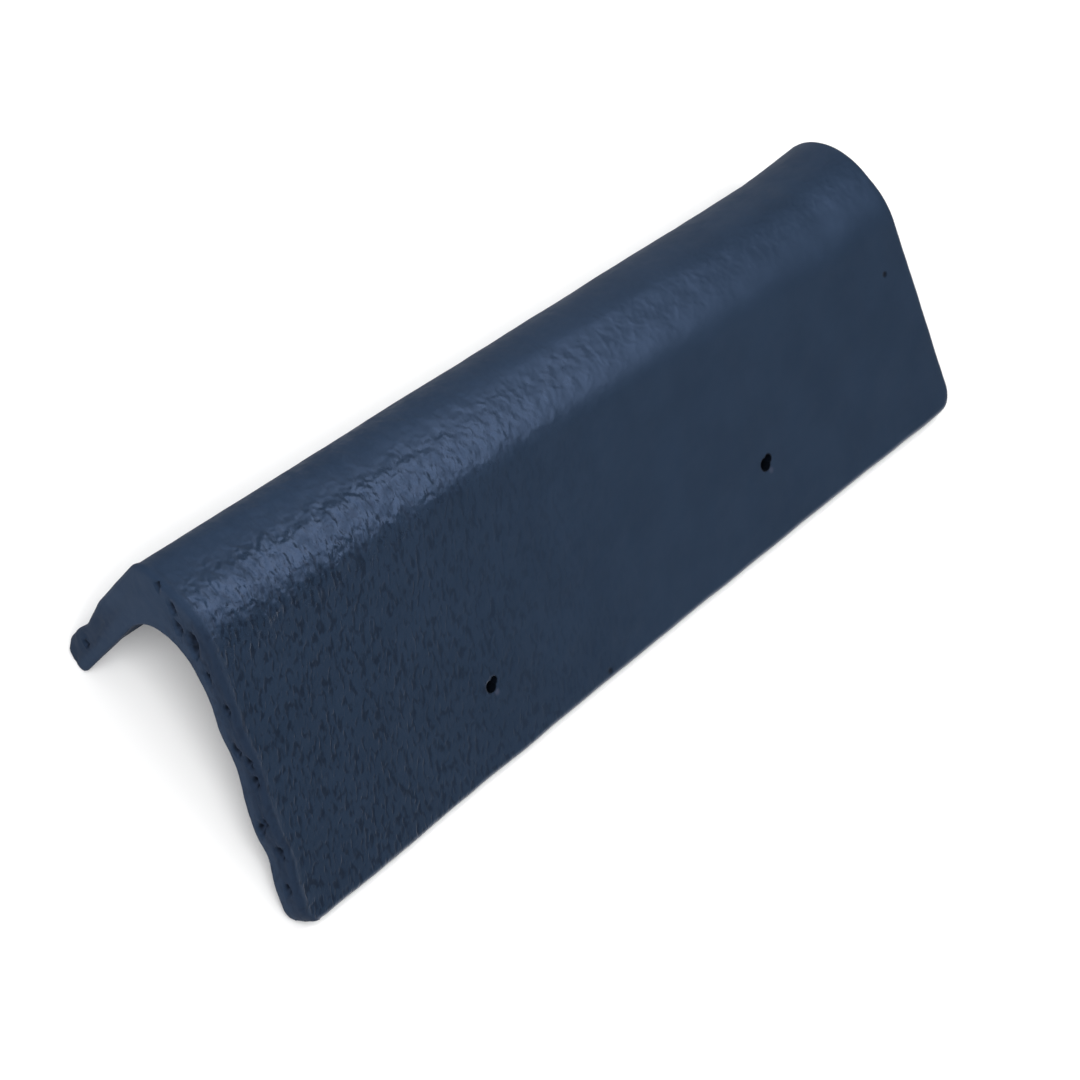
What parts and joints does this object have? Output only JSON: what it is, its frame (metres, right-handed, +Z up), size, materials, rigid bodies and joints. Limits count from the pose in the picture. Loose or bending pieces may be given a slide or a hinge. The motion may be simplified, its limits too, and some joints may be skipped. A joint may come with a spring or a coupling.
{
  "type": "verge tile",
  "caption": "Coated concrete verge tile: a wide leg with nail holes and a narrow leg bent along a rounded crown, tapering from tail to head so that tiles lap.",
  "frame": {"origin": "on the floor, under the middle of the tile as it stands on the feet of its two legs", "axes": "+X along the tile from the tail to the head, +Y towards the narrow leg, +Z up"},
  "size_m": [0.42, 0.1521, 0.0868],
  "materials": {
    "coated_concrete": "semi-gloss slate-blue surface coating over cast concrete"
  },
  "bodies": {
    "root": {"verge_tile": "coated_concrete"}
  },
  "joints": []
}
